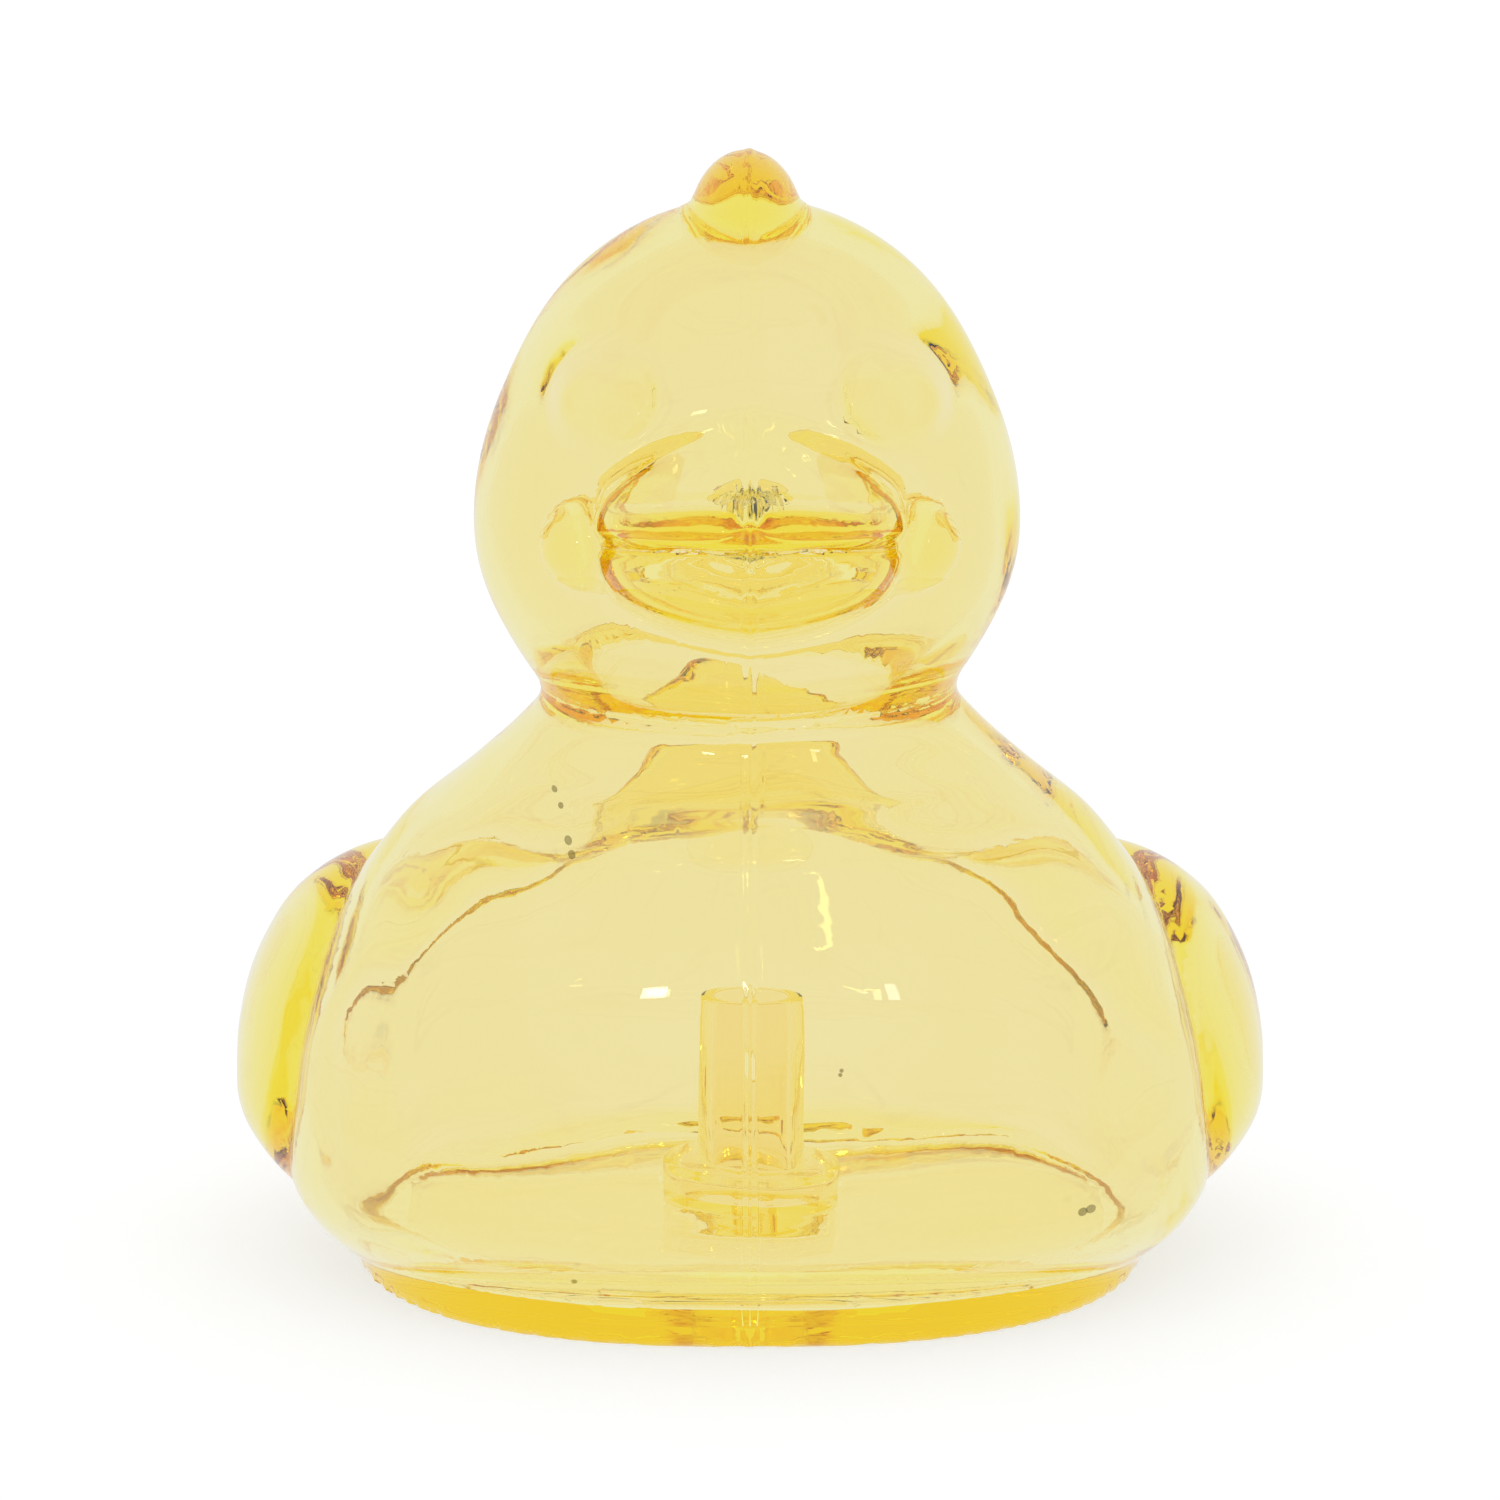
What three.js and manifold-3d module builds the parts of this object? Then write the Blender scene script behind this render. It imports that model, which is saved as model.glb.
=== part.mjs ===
// A clear yellow vinyl bath duck with a squeaker pushed into the hole in its base.
// The duck faces -Y, stands on z = 0, and its left and right sides mirror in x.

import * as THREE from 'three';
import { mergeVertices } from 'three/addons/utils/BufferGeometryUtils.js';
import Module from 'manifold-3d';

const wasm = await Module();
wasm.setup();

// Driving sizes in millimetres. Reaches are measured forward or back from the middle of the base.

const wall = 2.0;
const floorThickness = 2.4;

const baseHalfWidth = 29.0;
const baseFront = 31.0;
const baseBack = 28.0;
const plinthHeight = 5.2;
const plinthEdge = 0.5;
const baseSquareness = 2.35;

const bellyFootHeight = 0.3;
const bellyFootFront = 20.5;
const bellyFootBack = 17.5;
const bellyHeight = 14.5;
const bellyHalfWidth = 35.2;
const bellyBulge = 3.1;
const chestReach = 37.0;
const rumpReach = 36.0;

const neckHeight = 44.2;
const neckHalfWidth = 15.4;
const neckFront = 26.8;
const neckBack = 4.0;
const neckBlend = 0.7;

const headAboveNeck = 13.8;
const headCentreHeight = neckHeight + headAboveNeck;
const headCentreY = -12.0;
const headHalfWidth = 20.0;
const headHalfDepth = 19.6;
const headRise = 23.4;
const headDrop = 18.6;

const wingRise = 2.8;
const wingBluntness = 5.0;
const wingTopSoftness = 1.5;
const wingFootSoftness = 3.0;
const wingEdgePower = 0.5;
const wingFootPower = 0.95;
const wingCentreY = 5.0;
const wingCentreHeight = bellyHeight + 3.5;

const eyeHalfWidth = 3.8;
const eyeHalfHeight = 4.3;
const eyeRise = 0.9;
const eyeBluntness = 5;
const eyeLean = 0.3;
const eyeX = headHalfWidth * 0.535;
const eyeHeight = headCentreHeight + headRise * 0.496;

const mouthHeight = headCentreHeight + 1.6;
const mouthGap = 0.7;
const mouthGrooveDepth = 1.3;
const mouthRoundness = 0.8;
const billHalfWidth = headHalfWidth * 0.6;
const billRootY = headCentreY - headHalfDepth * 0.714;
const billReach = 17.4;
const billRise = 11.6;
const billTurnUp = 0.19;
const billHingeReach = 3.0;
const billLip = 3.0;
const billTaper = 0.65;
const upperBillHollow = 1.4;
const upperBillSquareness = 1.5;
const billTipBluntness = 40;
const lowerBillReach = 12.0;
const lowerBillDrop = 8.4;
const lowerBillHollow = 0.5;
const lowerBillSquareness = 1.6;
const billMouthSquareness = 6.0;
const cheekRadius = 3.3;
const cheekX = billHalfWidth;
const cheekHeight = mouthHeight - 0.4;
const cheekSinkShare = 0.25;

const tuftHeight = headCentreHeight + headRise + 3.6;
const tuftHalfWidth = 4.2;
const tuftHalfLength = 7.6;
const tuftY = headCentreY + 1.0;

const tailRootY = rumpReach * 0.4;
const tailEndY = rumpReach + 2.2;
const tailEndRise = 14.9;
const tailRootRise = 1.0;
const tailBendBack = 7.7;
const tailBendRise = 5.0;
const tailHalfWidth = 19.0;
const tailHalfThickness = 12.5;
const tailWidthTaper = 0.55;
const tailThicknessTaper = 0.64;

const squeakerHoleDiameter = 10.4;
const squeakerClearance = 0.3;
const squeakerDrumDiameter = squeakerHoleDiameter + 2.6;
const squeakerDrumHeight = 4.6;
const squeakerTubeDiameter = 7.8;
const squeakerTubeTopDiameter = 7.2;
const squeakerTopHeight = 19.2;
const squeakerWall = 1.1;
const squeakerAirHole = 3.0;

// Facet counts.

const outerSides = 44;
const innerSides = 30;
const trimSides = 26;
const turnedSides = 32;
const wingSides = 38;
const tailSides = 28;
const tailInnerSides = 24;
const cheekSides = 16;
const tuftSides = 24;
const outerRings = { body: 18, head: 16 };
const innerRings = { body: 12, head: 11 };
const ringBunching = 0.45;

// Shares of the way from the widest line of the belly up to the neck, and how much of the
// belly's extra width, chest and rump is left there.
const shoulderRows = [
  { rise: 0.0, width: 1.0, chest: 0.87, rump: 1.0 },
  { rise: 0.16, width: 0.96, chest: 0.97, rump: 0.97 },
  { rise: 0.3, width: 0.87, chest: 1.0, rump: 0.84 },
  { rise: 0.42, width: 0.77, chest: 0.93, rump: 0.59 },
  { rise: 0.56, width: 0.63, chest: 0.8, rump: 0.34 },
  { rise: 0.7, width: 0.48, chest: 0.57, rump: 0.18 },
  { rise: 0.84, width: 0.26, chest: 0.24, rump: 0.07 },
  { rise: 0.94, width: 0.08, chest: 0.06, rump: 0.02 },
  { rise: 1.0, width: 0.0, chest: 0.0, rump: 0.0 },
];

const clamp = THREE.MathUtils.clamp;
const lerp = THREE.MathUtils.lerp;

// A smooth curve through the rows' values, read at a share of the rise.
function readRows(rows, key, rise) {
  const last = rows.length - 1;
  let i = 0;
  while (i < last - 1 && rise > rows[i + 1].rise) i += 1;
  const slopeAt = (k) => {
    const before = rows[Math.max(k - 1, 0)];
    const after = rows[Math.min(k + 1, last)];
    return (after[key] - before[key]) / (after.rise - before.rise);
  };
  const step = rows[i + 1].rise - rows[i].rise;
  const t = clamp((rise - rows[i].rise) / step, 0, 1);
  const t2 = t * t;
  const t3 = t2 * t;
  return rows[i][key] * (2 * t3 - 3 * t2 + 1)
    + slopeAt(i) * step * (t3 - 2 * t2 + t)
    + rows[i + 1][key] * (3 * t2 - 2 * t3)
    + slopeAt(i + 1) * step * (t3 - t2);
}

// The larger of two sizes, with the corner between them rounded over the blend.
function roundedMax(a, b, blend) {
  const overlap = Math.max(blend - Math.abs(a - b), 0) / blend;
  return Math.max(a, b) + overlap * overlap * blend * 0.25;
}

// The duck's horizontal section at a height: half width, middle, front, back and squareness.
function sectionAt(height) {
  const bellyShare = clamp((height - bellyFootHeight) / (bellyHeight - bellyFootHeight), 0, 1);
  const bulge = 1 - (1 - bellyShare) ** bellyBulge;
  const rise = clamp((height - bellyHeight) / (neckHeight - bellyHeight), 0, 1);
  let half;
  let front;
  let back;
  if (height < bellyHeight) {
    const chestHere = lerp(neckFront, chestReach, shoulderRows[0].chest);
    half = lerp(baseHalfWidth, bellyHalfWidth, bulge);
    front = lerp(bellyFootFront, chestHere, bulge);
    back = lerp(bellyFootBack, rumpReach, bulge);
  } else {
    half = lerp(neckHalfWidth, bellyHalfWidth, readRows(shoulderRows, 'width', rise));
    front = lerp(neckFront, chestReach, readRows(shoulderRows, 'chest', rise));
    back = lerp(neckBack, rumpReach, readRows(shoulderRows, 'rump', rise));
  }
  const headSpan = height < headCentreHeight ? headDrop : headRise;
  const headShare = clamp(Math.abs(height - headCentreHeight) / headSpan, 0, 1);
  const headRound = Math.sqrt(1 - headShare * headShare);
  const neckShare = THREE.MathUtils.smoothstep(height, bellyHeight, neckHeight);
  const middle = lerp(0, headCentreY, neckShare);
  const squareness = lerp(baseSquareness, 2, neckShare);
  if (height > headCentreHeight) {
    half = headHalfWidth * headRound;
    front = headHalfDepth * headRound - headCentreY;
    back = headHalfDepth * headRound + headCentreY;
  } else if (height > bellyHeight) {
    half = roundedMax(half, headHalfWidth * headRound, neckBlend);
    front = roundedMax(front, headHalfDepth * headRound - headCentreY, neckBlend);
    back = roundedMax(back, headHalfDepth * headRound + headCentreY, neckBlend);
  }
  return { half, middle, front: -front, back, squareness };
}

const oval = (value, squareness) => Math.sign(value) * Math.abs(value) ** (2 / squareness);

// A point of the skin at a height and at an angle round the section.
function skinPoint(height, angle) {
  const s = sectionAt(height);
  const side = Math.cos(angle);
  const depth = Math.sin(angle);
  const reach = depth < 0 ? s.middle - s.front : s.back - s.middle;
  const x = s.half * oval(side, s.squareness);
  const y = s.middle + reach * oval(depth, s.squareness);
  return new THREE.Vector3(x, y, height);
}

// The same point moved into the vinyl by a depth, square to the skin.
function insetPoint(height, angle, depth) {
  const step = 0.02;
  const low = Math.max(height - step, bellyFootHeight);
  const high = Math.min(height + step, headCentreHeight + headRise);
  const along = skinPoint(high, angle).sub(skinPoint(low, angle));
  const round = skinPoint(height, angle + step).sub(skinPoint(height, angle - step));
  const outward = round.cross(along).normalize();
  return skinPoint(height, angle).addScaledVector(outward, -depth);
}

// How far out the flank lies at a depth and height, and how far forward the face lies.
function flankX(y, height) {
  const s = sectionAt(height);
  const reach = y < s.middle ? s.middle - s.front : s.back - s.middle;
  const share = clamp(Math.abs(y - s.middle) / reach, 0, 1);
  return s.half * (1 - share ** s.squareness) ** (1 / s.squareness);
}

function faceY(x, height) {
  const s = sectionAt(height);
  const share = clamp(Math.abs(x) / s.half, 0, 1);
  return s.middle - (s.middle - s.front) * (1 - share ** s.squareness) ** (1 / s.squareness);
}

// A closed solid from a stack of rings of points, closed by a point at each end.
function solidFromRings(first, rings, last) {
  const sides = rings[0].length;
  const points = [first, ...rings.flat(), last];
  const lastIndex = points.length - 1;
  const triangles = [];
  for (let i = 0; i < sides; i += 1) {
    const next = (i + 1) % sides;
    triangles.push(0, 1 + next, 1 + i);
    for (let r = 0; r < rings.length - 1; r += 1) {
      const a = 1 + r * sides + i;
      const b = 1 + r * sides + next;
      triangles.push(a, b, b + sides, a, b + sides, a + sides);
    }
    const top = 1 + (rings.length - 1) * sides;
    triangles.push(top + i, top + next, lastIndex);
  }
  const geometry = new THREE.BufferGeometry().setFromPoints(points);
  geometry.setIndex(triangles);
  return toSolid(geometry);
}

// A closed geometry as a solid, with its faces turned to point out.
function toSolid(geometry) {
  const bare = geometry.clone();
  bare.deleteAttribute('normal');
  bare.deleteAttribute('uv');
  const merged = mergeVertices(bare, 1e-5);
  const position = merged.getAttribute('position');
  const index = Array.from(merged.getIndex().array);
  const a = new THREE.Vector3();
  const b = new THREE.Vector3();
  const c = new THREE.Vector3();
  const kept = [];
  let volume = 0;
  for (let i = 0; i < index.length; i += 3) {
    const [p, q, r] = [index[i], index[i + 1], index[i + 2]];
    if (p === q || q === r || r === p) continue;
    kept.push(p, q, r);
    a.fromBufferAttribute(position, p);
    b.fromBufferAttribute(position, q);
    c.fromBufferAttribute(position, r);
    volume += a.dot(b.cross(c)) / 6;
  }
  const facing = volume > 0 ? kept : kept.reverse();
  return new wasm.Manifold(new wasm.Mesh({
    numProp: 3,
    vertProperties: new Float32Array(position.array),
    triVerts: new Uint32Array(facing),
  }));
}

function fromSolid(solid) {
  const mesh = solid.getMesh();
  const geometry = new THREE.BufferGeometry();
  geometry.setAttribute('position', new THREE.BufferAttribute(new Float32Array(mesh.vertProperties), 3));
  geometry.setIndex(Array.from(mesh.triVerts));
  geometry.computeVertexNormals();
  return geometry;
}

function ringAngles(sides) {
  return Array.from({ length: sides }, (_, i) => (2 * Math.PI * i) / sides);
}

// Heights of the section rings: close together at the foot, the neck and the crown.
function skinHeights(bodyRings, headRings) {
  const heights = [];
  for (let i = 0; i < bodyRings; i += 1) {
    const share = (1 - Math.cos((Math.PI * i) / bodyRings)) / 2;
    heights.push(lerp(bellyFootHeight, neckHeight, lerp(i / bodyRings, share, ringBunching)));
  }
  const startAngle = -Math.asin((headCentreHeight - neckHeight) / headDrop);
  for (let i = 0; i < headRings; i += 1) {
    const angle = lerp(startAngle, Math.PI / 2, i / headRings);
    const span = angle < 0 ? headDrop : headRise;
    heights.push(headCentreHeight + span * Math.sin(angle));
  }
  return heights;
}

// The main skin from the belly's foot to the crown, moved in by a depth.
function skinSolid(sides, counts, depth) {
  const rings = skinHeights(counts.body, counts.head).map((height) =>
    ringAngles(sides).map((angle) => insetPoint(height, angle, depth)));
  const foot = new THREE.Vector3(0, 0, rings[0][0].z);
  const crown = new THREE.Vector3(0, headCentreY, headCentreHeight + headRise - depth);
  return solidFromRings(foot, rings, crown);
}

// The upright oval plinth that the duck stands on, with its lower edge eased.
function plinthSolid(inset, bottom, top, edge, sides) {
  const levels = [
    { height: bottom, pull: inset + edge },
    { height: bottom + edge, pull: inset },
    { height: top, pull: inset },
  ];
  const rings = levels.map(({ height, pull }) => ringAngles(sides).map((angle) => {
    const reach = Math.sin(angle) < 0 ? baseFront : baseBack;
    const x = (baseHalfWidth - pull) * oval(Math.cos(angle), baseSquareness);
    const y = (reach - pull) * oval(Math.sin(angle), baseSquareness);
    return new THREE.Vector3(x, y, height);
  }));
  return solidFromRings(new THREE.Vector3(0, 0, bottom), rings, new THREE.Vector3(0, 0, top));
}

// A raised pad on a curved surface. The outline gives a point of its edge for each angle, place
// gives the space point for a point of the outline's plane and a rise off the surface, and crown
// gives the share of the full rise at a share of the way out, on a slope up or down.
function padSolid(outline, centre, place, rise, sink, sides, crown) {
  const shares = [0.35, 0.65, 0.85, 0.95, 1];
  const ring = (share, riseAt) => ringAngles(sides).map((angle) => {
    const edge = outline(angle);
    const slope = (edge.y - centre.y) / edge.distanceTo(centre);
    return place(lerp(centre.x, edge.x, share), lerp(centre.y, edge.y, share), riseAt(slope));
  });
  const upper = shares.map((share) => ring(share, (slope) => rise * crown(share, slope)));
  return solidFromRings(place(centre.x, centre.y, rise), [...upper, ring(1, () => -sink)],
    place(centre.x, centre.y, -sink));
}

// The wing's edge is blunt in front, softer above, and runs out into the flank below.
function wingCrown(share, slope) {
  const low = THREE.MathUtils.smoothstep(-slope, 0.1, 0.9);
  const high = THREE.MathUtils.smoothstep(slope, 0.3, 0.95);
  const bend = wingBluntness - wingFootSoftness * low - wingTopSoftness * high;
  return (1 - share ** bend) ** lerp(wingEdgePower, wingFootPower, low);
}

const eyeCrown = (share) => Math.sqrt(1 - share ** eyeBluntness);

// The wing's outline in side view, as offsets back and up from its middle: round at the
// shoulder and drawn out to a tip towards the tail.
const wingOutline = new THREE.CatmullRomCurve3([
  [22, 5], [11, 9.6], [-1, 12], [-11, 9.4], [-17.5, 2.5], [-17, -5.5], [-10.5, -11.5],
  [0, -13.8], [9, -11.5], [17, -4.5],
].map(([back, up]) => new THREE.Vector3(back, up, 0)), true, 'centripetal');

function wingSolid(side, inset, sides) {
  const centre = new THREE.Vector2(wingCentreY, wingCentreHeight);
  const outline = (angle) => {
    const edge = wingOutline.getPoint(angle / (2 * Math.PI));
    const shrink = 1 - inset / edge.length();
    return new THREE.Vector2(centre.x + edge.x * shrink, centre.y + edge.y * shrink);
  };
  const place = (y, z, rise) => new THREE.Vector3(side * (flankX(y, z) - inset + rise), y, z);
  return padSolid(outline, centre, place, wingRise, wall, sides, wingCrown);
}

// A shallow raised oval for an eye.
function eyeSolid(side) {
  const centre = new THREE.Vector2(side * eyeX, eyeHeight);
  const outline = (angle) => {
    const up = eyeHalfHeight * Math.sin(angle);
    const across = eyeHalfWidth * Math.cos(angle) - side * eyeLean * up;
    return new THREE.Vector2(centre.x + across, centre.y + up);
  };
  const place = (x, z, rise) => new THREE.Vector3(x, faceY(x, z) - rise, z);
  return padSolid(outline, centre, place, eyeRise, wall / 2, trimSides, eyeCrown);
}

// The bill turns up towards its tip: how much higher its points lie at a depth.
const billLift = (y) => -billTurnUp * (y - billRootY + billHingeReach);

// Half of the bill: an arched root that flattens to a rounded lip. A sign of 1 makes the upper
// half and -1 the lower, from the level line of its own edge. The hollow bends its top line.
function billSolid(sign, edgeHeight, reach, rise, hollow, squareness) {
  const steps = 10;
  const lipMiddle = billLip / 2;
  const rings = [];
  for (let i = 0; i < steps; i += 1) {
    const turn = (i / steps) * (Math.PI / 2);
    const out = Math.sin(turn);
    const height = billLip + (rise - billLip) * (1 - out) ** hollow;
    const y = billRootY - reach * out;
    const level = edgeHeight + billLift(y);
    const tipRound = Math.sqrt(1 - out ** billTipBluntness);
    const half = billHalfWidth * Math.cos(turn) ** billTaper;
    rings.push(ringAngles(trimSides).map((angle) => {
      const outer = Math.sin(angle) > 0;
      const corner = outer ? squareness : billMouthSquareness;
      const across = half * oval(Math.cos(angle), corner);
      const up = oval(Math.sin(angle), corner) * tipRound;
      const z = lipMiddle + up * (outer ? height - lipMiddle : lipMiddle);
      return new THREE.Vector3(across, y, level + sign * z);
    }));
  }
  const middleAt = (y) => new THREE.Vector3(0, y, edgeHeight + billLift(y) + sign * lipMiddle);
  return solidFromRings(middleAt(billRootY), rings, middleAt(billRootY - reach));
}

// The flat tongue of vinyl between the two halves, whose edge lies back in the mouth line.
function mouthSolid() {
  const steps = 24;
  const outline = new THREE.Shape();
  for (let i = 0; i <= steps; i += 1) {
    const turn = (Math.PI * i) / steps;
    const x = (billHalfWidth - mouthGrooveDepth) * Math.cos(turn);
    const y = (lowerBillReach - mouthGrooveDepth) * Math.sin(turn) ** mouthRoundness;
    if (i === 0) outline.moveTo(x, -y);
    else outline.lineTo(x, -y);
  }
  const tongue = new THREE.ExtrudeGeometry(outline, { depth: mouthGap * 3, bevelEnabled: false });
  tongue.translate(0, billRootY, mouthHeight - mouthGap * 1.5);
  const position = tongue.getAttribute('position');
  for (let i = 0; i < position.count; i += 1) {
    position.setZ(i, position.getZ(i) + billLift(position.getY(i)));
  }
  return toSolid(tongue);
}

function ellipsoidSolid(radii, centre, sides) {
  const ball = new THREE.SphereGeometry(1, sides, Math.round(sides / 2));
  ball.rotateX(Math.PI / 2);
  ball.scale(radii.x, radii.y, radii.z);
  ball.translate(centre.x, centre.y, centre.z);
  return toSolid(ball);
}

// The small round lobe at each corner of the mouth.
function cheekSolid(side) {
  const y = faceY(cheekX, cheekHeight) + cheekRadius * cheekSinkShare;
  const radii = new THREE.Vector3(cheekRadius, cheekRadius, cheekRadius);
  return ellipsoidSolid(radii, new THREE.Vector3(side * cheekX, y, cheekHeight), cheekSides);
}

// The tuft on the crown, a ridge that is longer than it is wide.
function tuftSolid() {
  const rootHeight = headCentreHeight + headRise - wall;
  const radii = new THREE.Vector3(tuftHalfWidth, tuftHalfLength, tuftHeight - rootHeight);
  return ellipsoidSolid(radii, new THREE.Vector3(0, tuftY, rootHeight), tuftSides);
}

// The tail: a flattened cone whose spine sweeps up from inside the rump, with a rounded end.
function tailSolid(inset, sides) {
  const root = new THREE.Vector3(0, tailRootY, bellyHeight + tailRootRise);
  const bend = new THREE.Vector3(0, tailEndY - tailBendBack, bellyHeight + tailBendRise);
  const end = new THREE.Vector3(0, tailEndY, bellyHeight + tailEndRise);
  const spine = new THREE.QuadraticBezierCurve3(root, bend, end);
  const endThick = tailHalfThickness * (1 - tailThicknessTaper) - inset;
  const steps = 8;
  const capSteps = 4;
  const ringAt = (share, scale, push) => {
    const across = (tailHalfWidth * (1 - tailWidthTaper * share) - inset) * scale;
    const thick = (tailHalfThickness * (1 - tailThicknessTaper * share) - inset) * scale;
    const along = spine.getTangent(share);
    const centre = spine.getPoint(share).addScaledVector(along, push);
    const up = new THREE.Vector3(0, -along.z, along.y);
    return ringAngles(sides).map((angle) => new THREE.Vector3(across * Math.cos(angle), 0, 0)
      .addScaledVector(up, thick * Math.sin(angle)).add(centre));
  };
  const rings = [];
  for (let i = 0; i <= steps; i += 1) rings.push(ringAt(i / steps, 1, 0));
  for (let i = 1; i < capSteps; i += 1) {
    const turn = (i / capSteps) * (Math.PI / 2);
    rings.push(ringAt(1, Math.cos(turn), endThick * Math.sin(turn)));
  }
  const tip = spine.getPoint(1).addScaledVector(spine.getTangent(1), endThick);
  return solidFromRings(spine.getPoint(0), rings, tip);
}

// A turned solid from a closed half section of radius and height pairs.
function turnedSolid(section) {
  const points = section.map(([radius, height]) => new THREE.Vector2(radius, height));
  const turned = new THREE.LatheGeometry(points, turnedSides);
  turned.rotateX(Math.PI / 2);
  return toSolid(turned);
}

// The inside of the shell: the skin moved in by the wall, the plinth above the floor, and the
// hollows behind the wings and in the root of the tail.
function cavitySolid() {
  const reach = 100;
  const above = new THREE.BoxGeometry(2 * reach, 2 * reach, reach);
  above.translate(0, 0, floorThickness + reach / 2);
  const inside = plinthSolid(wall, floorThickness - 1, plinthHeight, 0, innerSides);
  return skinSolid(innerSides, innerRings, wall)
    .add(inside)
    .add(wingSolid(1, wall, trimSides))
    .add(wingSolid(-1, wall, trimSides))
    .add(tailSolid(wall, tailInnerSides))
    .intersect(toSolid(above));
}

function duckBody() {
  const upperEdge = mouthHeight + mouthGap / 2;
  const lowerEdge = mouthHeight - mouthGap / 2;
  const hole = squeakerHoleDiameter / 2;
  const outside = skinSolid(outerSides, outerRings, 0)
    .add(plinthSolid(0, 0, plinthHeight, plinthEdge, outerSides))
    .add(wingSolid(1, 0, wingSides))
    .add(wingSolid(-1, 0, wingSides))
    .add(eyeSolid(1))
    .add(eyeSolid(-1))
    .add(billSolid(1, upperEdge, billReach, billRise, upperBillHollow, upperBillSquareness))
    .add(billSolid(-1, lowerEdge, lowerBillReach, lowerBillDrop, lowerBillHollow, lowerBillSquareness))
    .add(mouthSolid())
    .add(cheekSolid(1))
    .add(cheekSolid(-1))
    .add(tuftSolid())
    .add(tailSolid(0, tailSides));
  const holeTop = floorThickness + 1;
  const squeakerHole = turnedSolid([[0, -1], [hole, -1], [hole, holeTop], [0, holeTop]]);
  return outside.subtract(cavitySolid()).subtract(squeakerHole);
}

// The squeaker: a plug in the base hole, a drum that holds it behind the floor, and a tube.
function squeaker() {
  const plug = squeakerHoleDiameter / 2 - squeakerClearance;
  const drum = squeakerDrumDiameter / 2;
  const seat = floorThickness + squeakerClearance;
  const drumTop = seat + squeakerDrumHeight;
  const tubeBottom = squeakerTubeDiameter / 2;
  const tubeTop = squeakerTubeTopDiameter / 2;
  const air = squeakerAirHole / 2;
  const plugBottom = squeakerClearance;
  return turnedSolid([
    [air, plugBottom],
    [plug, plugBottom],
    [plug, seat],
    [drum, seat],
    [drum, drumTop],
    [tubeBottom, drumTop],
    [tubeTop, squeakerTopHeight],
    [tubeTop - squeakerWall, squeakerTopHeight],
    [tubeBottom - squeakerWall, drumTop - squeakerWall],
    [drum - squeakerWall, drumTop - squeakerWall],
    [drum - squeakerWall, seat + squeakerWall],
    [air, seat + squeakerWall],
    [air, plugBottom],
  ]);
}

const clearYellowVinyl = new THREE.MeshStandardMaterial({
  name: 'clear_yellow_vinyl', color: 0xebd778, roughness: 0.12, metalness: 0,
  transparent: true, opacity: 0.6, side: THREE.DoubleSide,
});
const clearYellowPlastic = new THREE.MeshStandardMaterial({
  name: 'clear_yellow_plastic', color: 0xebd057, roughness: 0.2, metalness: 0,
  transparent: true, opacity: 0.7, side: THREE.DoubleSide,
});

function part(name, solid, material) {
  const mesh = new THREE.Mesh(fromSolid(solid), material);
  mesh.name = name;
  return mesh;
}

// The whole duck, set so that the middle of its length is at y = 0.
const rubberDuck = new THREE.Group();
rubberDuck.add(part('duck_body', duckBody(), clearYellowVinyl));
rubberDuck.add(part('squeaker', squeaker(), clearYellowPlastic));
const bounds = new THREE.Box3().setFromObject(rubberDuck);
rubberDuck.position.y = -(bounds.min.y + bounds.max.y) / 2;

export default rubberDuck;
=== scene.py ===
# The looks of a clear yellow vinyl bath duck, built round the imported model.
#
# The CAD duck is one hollow shell with a squeaker in its base. Here the same shell is built again
# as a fine mesh from distance fields, with its soft folds, moulded eyes, mouth and parting line,
# and with an inside face whose depth varies as in a real moulding. Sizes are in millimetres in
# the fields, and metres in the scene.
import math

import bmesh
import bpy
import numpy as np
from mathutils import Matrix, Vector


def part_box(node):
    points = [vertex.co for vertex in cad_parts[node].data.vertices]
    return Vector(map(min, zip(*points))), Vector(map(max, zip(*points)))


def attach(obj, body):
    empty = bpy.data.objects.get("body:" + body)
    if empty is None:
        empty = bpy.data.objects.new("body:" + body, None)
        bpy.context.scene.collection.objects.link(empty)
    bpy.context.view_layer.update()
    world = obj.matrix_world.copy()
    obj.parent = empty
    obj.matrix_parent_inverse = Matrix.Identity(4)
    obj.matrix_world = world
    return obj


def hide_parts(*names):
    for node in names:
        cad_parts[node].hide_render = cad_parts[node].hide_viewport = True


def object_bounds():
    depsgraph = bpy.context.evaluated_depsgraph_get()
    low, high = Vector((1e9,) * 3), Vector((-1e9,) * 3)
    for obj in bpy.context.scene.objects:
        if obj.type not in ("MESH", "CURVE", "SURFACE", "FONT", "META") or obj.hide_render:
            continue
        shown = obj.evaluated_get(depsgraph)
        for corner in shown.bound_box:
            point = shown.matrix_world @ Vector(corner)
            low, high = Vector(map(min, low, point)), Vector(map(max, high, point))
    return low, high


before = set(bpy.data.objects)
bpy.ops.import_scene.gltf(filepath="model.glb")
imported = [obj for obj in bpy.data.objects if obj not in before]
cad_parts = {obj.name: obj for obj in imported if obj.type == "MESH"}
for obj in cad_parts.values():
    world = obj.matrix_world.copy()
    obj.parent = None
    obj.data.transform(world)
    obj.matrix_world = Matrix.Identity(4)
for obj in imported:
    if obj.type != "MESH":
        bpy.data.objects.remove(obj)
cad_low, cad_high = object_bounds()

MM = 0.001
# These keep roots and divisions off zero.
TINY = 1e-12
LEAST_SLOPE = 1e-4

# The shapes below are measured from the squeaker's upright axis, as the CAD duck is drawn.
plug_low, plug_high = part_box("squeaker")
axis_y = (plug_low[1] + plug_high[1]) / 2 / MM

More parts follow.
